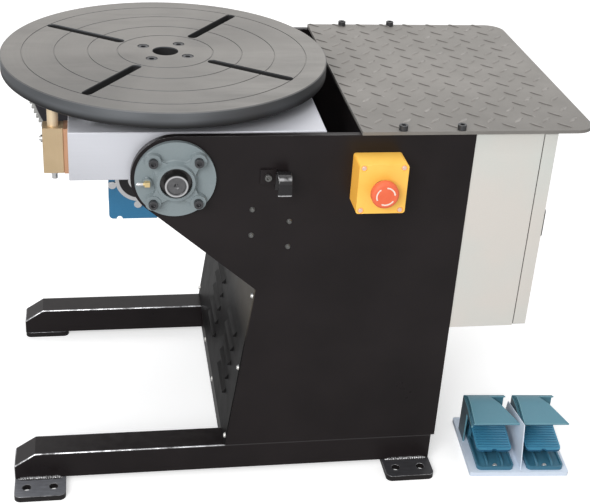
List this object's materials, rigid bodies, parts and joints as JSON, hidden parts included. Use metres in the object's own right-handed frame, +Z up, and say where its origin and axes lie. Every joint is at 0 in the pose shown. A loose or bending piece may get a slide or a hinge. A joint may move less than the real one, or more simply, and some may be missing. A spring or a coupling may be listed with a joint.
{
  "type": "welding positioner",
  "caption": "Two-axis welding positioner: slotted round table turning on a tilting box between side plates, with tread cover, cabinet and foot pedals.",
  "frame": {"origin": "middle of the table's top face, on its turning axis, with the table level", "axes": "+Z up along the table's axis; +X along the frame, from the open end of the legs to the control cabinet; -Y is the operator's side"},
  "size_m": [0.9209, 0.589, 0.641],
  "materials": {
    "black_paint": "gloss",
    "tread_steel": "rolled",
    "blackened_iron": "satin, turned",
    "machined_steel": "milled",
    "unit_grey": "painted casting",
    "bright_steel": "turned",
    "bearing_steel": "ground",
    "gear_steel": "oiled, cut teeth",
    "dark_screws": "black oxide",
    "zinc_screws": "zinc plated",
    "brass": "machined",
    "copper": "copper strip",
    "silver_fittings": "zinc plated",
    "blue_paint": "semi-gloss",
    "dark_blue_paint": "semi-gloss",
    "seal_rubber": "matt",
    "yellow_plastic": "moulded",
    "black_plastic": "moulded",
    "red_plastic": "moulded",
    "cream_paint": "satin",
    "plate_zinc": "galvanised",
    "grey_plastic": "moulded",
    "tray_aluminium": "pale coat",
    "pedal_teal": "textured"
  },
  "bodies": {
    "frame": {"leg_tubes": "black_paint", "cross_beams": "black_paint", "foot_pads": "black_paint", "side_plate_front": "black_paint", "side_plate_back": "black_paint", "louvre_panel": "black_paint", "inner_panels": "black_paint", "tread_cover": "tread_steel", "bearing_housings": "unit_grey", "bearing_outer_rings": "bearing_steel", "m8_screws": "dark_screws", "grease_nipples": "brass", "estop_box": "yellow_plastic", "estop_lid": "yellow_plastic", "estop_collar": "black_plastic", "small_screws": "zinc_screws", "cable_hook": "black_paint", "plate_screws": "zinc_screws", "limit_switches": "black_plastic", "tilt_gearbox": "blue_paint", "tilt_motor": "blue_paint", "tilt_fan_cowl": "dark_blue_paint", "cabinet_shell": "cream_paint", "door_gasket": "seal_rubber", "hinge_brackets": "silver_fittings", "mounting_plate": "plate_zinc", "motor_drives": "grey_plastic", "control_gear": "grey_plastic", "pedal_tray": "tray_aluminium", "pedal_bases": "pedal_teal", "pedal_hoods": "pedal_teal", "pedal_pins": "bright_steel"},
    "tilt_body": {"tilt_box": "machined_steel", "tilt_shafts": "bearing_steel", "bearing_inner_rings": "bearing_steel", "sector_gear": "gear_steel", "gear_bolts": "dark_screws", "spindle_housing": "bright_steel", "spindle_bearings": "bright_steel", "rotation_gearbox": "blue_paint", "first_stage_gearbox": "blue_paint", "gearbox_cover": "bright_steel", "output_seal": "seal_rubber", "rotation_motor": "blue_paint", "rotation_fan_cowl": "dark_blue_paint", "earth_block": "brass", "copper_strip": "copper", "earth_fittings": "silver_fittings"},
    "table_body": {"spindle": "bright_steel", "table": "blackened_iron", "table_screws": "dark_screws"},
    "contact_body": {"contact_rod": "brass"},
    "hollow_shaft_body": {"hollow_shaft": "bright_steel"},
    "pinion_body": {"tilt_pinion": "gear_steel"},
    "estop_stem_body": {"estop_stem": "bright_steel"},
    "estop_head_body": {"estop_head": "red_plastic"},
    "door_body": {"cabinet_door": "cream_paint"},
    "handle_body": {"door_handle": "black_plastic"},
    "treadle_left_body": {"treadle_left": "pedal_teal"},
    "treadle_right_body": {"treadle_right": "pedal_teal"}
  },
  "joints": [
    {"name": "tilt", "type": "hinge", "parent": "frame", "child": "tilt_body", "pos_m": [0, 0, -0.103], "axis": [0, -1, 0], "range_deg": [0, 90]},
    {"name": "table_rotation", "type": "hinge", "parent": "tilt_body", "child": "table_body", "pos_m": [0, 0, 0], "axis": [0, 0, 1], "continuous": true},
    {"name": "hollow_shaft_spin", "type": "hinge", "parent": "tilt_body", "child": "hollow_shaft_body", "pos_m": [-0.045, -0.1, -0.16], "axis": [0, 1, 0], "continuous": true},
    {"name": "tilt_pinion_spin", "type": "hinge", "parent": "frame", "child": "pinion_body", "pos_m": [0.18243, 0.215, -0.28543], "axis": [0, -1, 0], "range_deg": [-684, 0]},
    {"name": "earth_contact", "type": "slide", "parent": "tilt_body", "child": "contact_body", "axis": [0, 0, -1], "range_m": [0, 0.003], "stiffness_N_per_m": 2000, "springref_m": -0.004},
    {"name": "estop_press", "type": "slide", "parent": "frame", "child": "estop_stem_body", "axis": [0, 1, 0], "range_m": [0, 0.005]},
    {"name": "estop_release", "type": "hinge", "parent": "estop_stem_body", "child": "estop_head_body", "pos_m": [0.291, -0.295, -0.1055], "axis": [0, 1, 0], "range_deg": [0, 45], "stiffness_Nm_per_rad": 0.05, "springref_deg": -20.05},
    {"name": "cabinet_door", "type": "hinge", "parent": "frame", "child": "door_body", "pos_m": [0.5396, 0.245, -0.2], "axis": [0, 0, 1], "range_deg": [0, 110]},
    {"name": "door_handle", "type": "hinge", "parent": "door_body", "child": "handle_body", "pos_m": [0.56, -0.212, -0.198], "axis": [1, 0, 0], "range_deg": [0, 90]},
    {"name": "treadle_left", "type": "hinge", "parent": "frame", "child": "treadle_left_body", "pos_m": [0.54354, -0.18567, -0.613], "axis": [0.9971, -0.0767, 0], "range_deg": [0, 8], "stiffness_Nm_per_rad": 3, "springref_deg": -14.32},
    {"name": "treadle_right", "type": "hinge", "parent": "frame", "child": "treadle_right_body", "pos_m": [0.62829, -0.19219, -0.613], "axis": [0.9971, -0.0767, 0], "range_deg": [0, 8], "stiffness_Nm_per_rad": 3, "springref_deg": -14.32}
  ],
  "couplings": [
    {"joint": "tilt_pinion_spin", "follows": "tilt", "ratio": -7.6},
    {"joint": "hollow_shaft_spin", "follows": "table_rotation", "ratio": 15}
  ]
}
